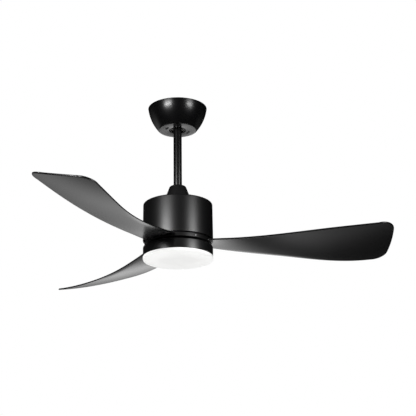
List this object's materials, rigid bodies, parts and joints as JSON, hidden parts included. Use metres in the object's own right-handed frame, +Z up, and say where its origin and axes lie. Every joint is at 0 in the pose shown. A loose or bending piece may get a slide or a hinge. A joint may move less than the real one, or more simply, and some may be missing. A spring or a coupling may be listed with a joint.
{
  "type": "ceiling fan with light",
  "caption": "Black ceiling fan on a short downrod, with a domed canopy, drum motor housing, twisted upswept blades and a flat opal light under the hub.",
  "frame": {"origin": "centre of the ceiling plane, midway between the two slots of the ceiling bracket", "axes": "+Z up along the downrod and the rotor's axis; X along the line of the ceiling bracket's slots; the first blade points almost along +X"},
  "size_m": [1.0694, 1.2038, 0.5002],
  "materials": {
    "bracket_black": "black-painted sheet steel",
    "zinc_steel": "zinc-plated sheet steel",
    "pin_steel": "bright plated steel",
    "canopy_black": "semi-gloss black paint",
    "rod_black": "satin black paint",
    "housing_black": "satin black paint",
    "cover_black": "fine-textured matte black",
    "carrier_black": "cast, painted matte black",
    "blade_black": "satin black moulded plastic",
    "ball_black": "matte black",
    "nylon": "plain nylon",
    "white_case": "fine-textured white",
    "brass_screw": "plain",
    "black_screw": "black oxide",
    "board_green": "solder mask",
    "board_white": "white solder mask",
    "component_dark": "moulded",
    "lamination": "stacked laminations",
    "copper": "enamelled copper wire",
    "magnet": "ground",
    "bare_aluminium": "die-cast",
    "led_yellow": "phosphor",
    "opal_white": "opal, softly satin"
  },
  "bodies": {
    "ceiling_bracket": {"hanger_bracket": "bracket_black", "stop_pin": "pin_steel", "canopy": "canopy_black", "canopy_screws": "black_screw", "receiver_box": "white_case", "terminal_block": "white_case", "terminal_screws": "brass_screw"},
    "ball_liner": {"socket_liner": "nylon"},
    "hanging_motor": {"hanger_ball": "ball_black", "hanger_pin": "pin_steel", "ball_set_screw": "black_screw", "downrod": "rod_black", "rod_coupling": "zinc_steel", "coupling_pin": "pin_steel", "pin_clip": "pin_steel", "coupling_screws": "black_screw", "motor_housing": "housing_black", "housing_screws": "black_screw", "control_board": "board_green", "board_components": "component_dark", "board_screws": "pin_steel", "motor_shaft": "pin_steel", "stator_core": "lamination", "stator_windings": "copper", "kit_mount_plate": "zinc_steel", "shaft_nuts": "pin_steel", "light_housing": "housing_black", "kit_screws": "pin_steel", "led_heatsink": "bare_aluminium", "led_board": "board_white", "led_chips": "led_yellow", "led_screws": "pin_steel", "led_driver": "white_case"},
    "cover": {"coupling_cover": "cover_black"},
    "rotor": {"rotor_upper_case": "bare_aluminium", "rotor_lower_case": "bare_aluminium", "rotor_magnets": "magnet", "upper_bearing": "pin_steel", "lower_bearing": "pin_steel", "rotor_case_screws": "pin_steel", "blade_carrier": "carrier_black", "carrier_screws": "black_screw", "blade_screws": "black_screw", "rim_screws": "pin_steel", "blade_1": "blade_black", "blade_2": "blade_black", "blade_3": "blade_black"},
    "diffuser": {"lens": "opal_white"}
  },
  "joints": [
    {"name": "ball_tilt_x", "type": "hinge", "parent": "ceiling_bracket", "child": "ball_liner", "pos_m": [0, 0, -0.05], "axis": [1, 0, 0], "range_deg": [-12, 12]},
    {"name": "ball_tilt_y", "type": "hinge", "parent": "ball_liner", "child": "hanging_motor", "pos_m": [0, 0, -0.05], "axis": [0, 1, 0], "range_deg": [-12, 12]},
    {"name": "coupling_cover_slide", "type": "slide", "parent": "hanging_motor", "child": "cover", "axis": [0, 0, 1], "range_m": [0, 0.15]},
    {"name": "rotor_spin", "type": "hinge", "parent": "hanging_motor", "child": "rotor", "pos_m": [0, 0, -0.446], "axis": [0, 0, 1], "continuous": true},
    {"name": "lens_twist", "type": "hinge", "parent": "hanging_motor", "child": "diffuser", "pos_m": [0, 0, -0.495], "axis": [0, 0, 1], "range_deg": [0, 18]}
  ]
}
